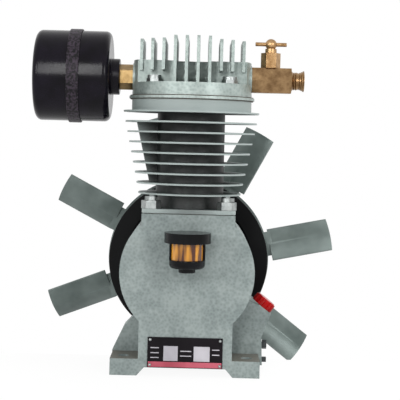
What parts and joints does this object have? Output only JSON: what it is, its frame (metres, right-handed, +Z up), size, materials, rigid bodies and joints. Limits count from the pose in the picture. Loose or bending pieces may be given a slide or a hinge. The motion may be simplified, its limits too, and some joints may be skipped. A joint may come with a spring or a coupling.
{
  "type": "air compressor pump head",
  "caption": "Belt-driven single-cylinder air compressor pump: finned cylinder and head on a footed crankcase, inlet filter, brass outlet with bleed cock, oil cup, and fan flywheel behind.",
  "frame": {"origin": "centre of the four base bolt holes, on the plane of the feet", "axes": "+Z up along the cylinder, +Y along the crankshaft to the flywheel, +X to the air outlet"},
  "size_m": [0.3095, 0.2085, 0.3895],
  "materials": {
    "cast_paint": "hammertone enamel on cast iron",
    "cylinder_paint": "dark grey-green enamel on cast iron",
    "head_paint": "grey-green enamel on cast aluminium",
    "fan_paint": "grey-green enamel on pressed steel",
    "pulley_paint": "black enamel",
    "filter_plastic": "moulded, glossy",
    "cup_plastic": "moulded, glossy",
    "amber_glass": "clear amber",
    "brass": "machined",
    "zinc_steel": "bright zinc plate",
    "bearing_steel": "ground",
    "spring_steel": "blued strip",
    "shaft_iron": "machined",
    "bare_aluminium": "cast and turned",
    "bronze": "turned bronze",
    "gasket_fibre": "pressed fibre",
    "seal_rubber": "moulded",
    "filter_paper": "pleated",
    "red_plastic": "moulded",
    "black_steel": "blackened",
    "plate_print": "printed aluminium, no lettering"
  },
  "bodies": {
    "pump_frame": {"crankcase": "cast_paint", "rear_bearing_housing": "cast_paint", "rear_gasket": "gasket_fibre", "rear_housing_screws": "zinc_steel", "shaft_oil_seal": "seal_rubber", "bearing_outer_races": "bearing_steel", "cylinder": "cylinder_paint", "base_gasket": "gasket_fibre", "cylinder_studs": "zinc_steel", "cylinder_nuts": "zinc_steel", "head_gaskets": "gasket_fibre", "valve_plate": "head_paint", "reed_stop": "bearing_steel", "reed_screws": "zinc_steel", "cylinder_head": "head_paint", "head_bolts": "zinc_steel", "intake_nipple": "brass", "filter_body": "filter_plastic", "filter_band": "filter_plastic", "filter_element": "filter_paper", "outlet_tee": "brass", "bleed_valve_body": "brass", "oil_cup_cap": "cup_plastic", "oil_cup_glass": "amber_glass", "oil_cup_cage": "cup_plastic", "oil_drain_plug": "black_steel", "oil_level_plug": "black_steel", "name_plate": "plate_print", "name_plate_rivets": "zinc_steel"},
    "crank_drive": {"crankshaft": "shaft_iron", "bearing_inner_races": "bearing_steel", "shaft_key": "bearing_steel", "pulley_front_half": "pulley_paint", "pulley_rear_half": "pulley_paint", "fan_disc": "fan_paint", "fan_blade_1": "fan_paint", "fan_blade_2": "fan_paint", "fan_blade_3": "fan_paint", "fan_blade_4": "fan_paint", "fan_blade_5": "fan_paint", "fan_blade_6": "fan_paint", "fan_blade_7": "fan_paint", "fan_blade_8": "fan_paint", "fan_rivets": "zinc_steel", "shaft_nut": "zinc_steel"},
    "bearing_ball_sets": {"bearing_balls": "bearing_steel"},
    "piston_set": {"piston": "bare_aluminium", "piston_rings": "shaft_iron", "wrist_pin": "bearing_steel", "wrist_pin_circlips": "spring_steel"},
    "rod_set": {"connecting_rod": "bare_aluminium", "rod_bushes": "bronze", "crank_pin": "bearing_steel"},
    "suction_flap": {"suction_reed": "spring_steel"},
    "discharge_flap": {"discharge_reed": "spring_steel"},
    "bleed_screw": {"bleed_spindle": "brass"},
    "bleed_handle": {"bleed_knob": "brass", "bleed_tee_bar": "brass"},
    "filler_plug": {"oil_filler_plug": "red_plastic"},
    "filter_lid": {"filter_cover": "filter_plastic"}
  },
  "joints": [
    {"name": "crank_turn", "type": "hinge", "parent": "pump_frame", "child": "crank_drive", "pos_m": [0, 0, 0.099], "axis": [0, 1, 0], "continuous": true},
    {"name": "bearing_ball_turn", "type": "hinge", "parent": "pump_frame", "child": "bearing_ball_sets", "pos_m": [0, 0, 0.099], "axis": [0, 1, 0], "continuous": true},
    {"name": "piston_travel", "type": "slide", "parent": "pump_frame", "child": "piston_set", "axis": [0, 0, -1], "range_m": [0, 0.044]},
    {"name": "rod_swing", "type": "hinge", "parent": "piston_set", "child": "rod_set", "pos_m": [0, 0, 0.242], "axis": [0, 1, 0], "range_deg": [-10.4, 10.4]},
    {"name": "suction_reed_lift", "type": "hinge", "parent": "pump_frame", "child": "suction_flap", "pos_m": [-0.013, 0.017, 0.2665], "axis": [1, 0, 0], "range_deg": [0, 1.5], "stiffness_Nm_per_rad": 0.3},
    {"name": "discharge_reed_lift", "type": "hinge", "parent": "pump_frame", "child": "discharge_flap", "pos_m": [0.013, 0.017, 0.2697], "axis": [-1, 0, 0], "range_deg": [0, 1.5], "stiffness_Nm_per_rad": 0.3},
    {"name": "bleed_rise", "type": "slide", "parent": "pump_frame", "child": "bleed_screw", "axis": [0, 0, 1], "range_m": [0, 0.0013]},
    {"name": "bleed_turn", "type": "hinge", "parent": "bleed_screw", "child": "bleed_handle", "pos_m": [0.0777, 0, 0.32], "axis": [0, 0, 1], "range_deg": [0, 360]},
    {"name": "filler_plug_out", "type": "slide", "parent": "pump_frame", "child": "filler_plug", "axis": [0.6157, 0, 0.788], "range_m": [0, 0.03]},
    {"name": "filter_cover_off", "type": "slide", "parent": "pump_frame", "child": "filter_lid", "axis": [-1, 0, 0], "range_m": [0, 0.06]}
  ],
  "couplings": [
    {"joint": "bearing_ball_turn", "follows": "crank_turn", "ratio": 0.3987},
    {"joint": "bleed_rise", "follows": "bleed_turn", "m_per_rad": 0.00019894}
  ]
}
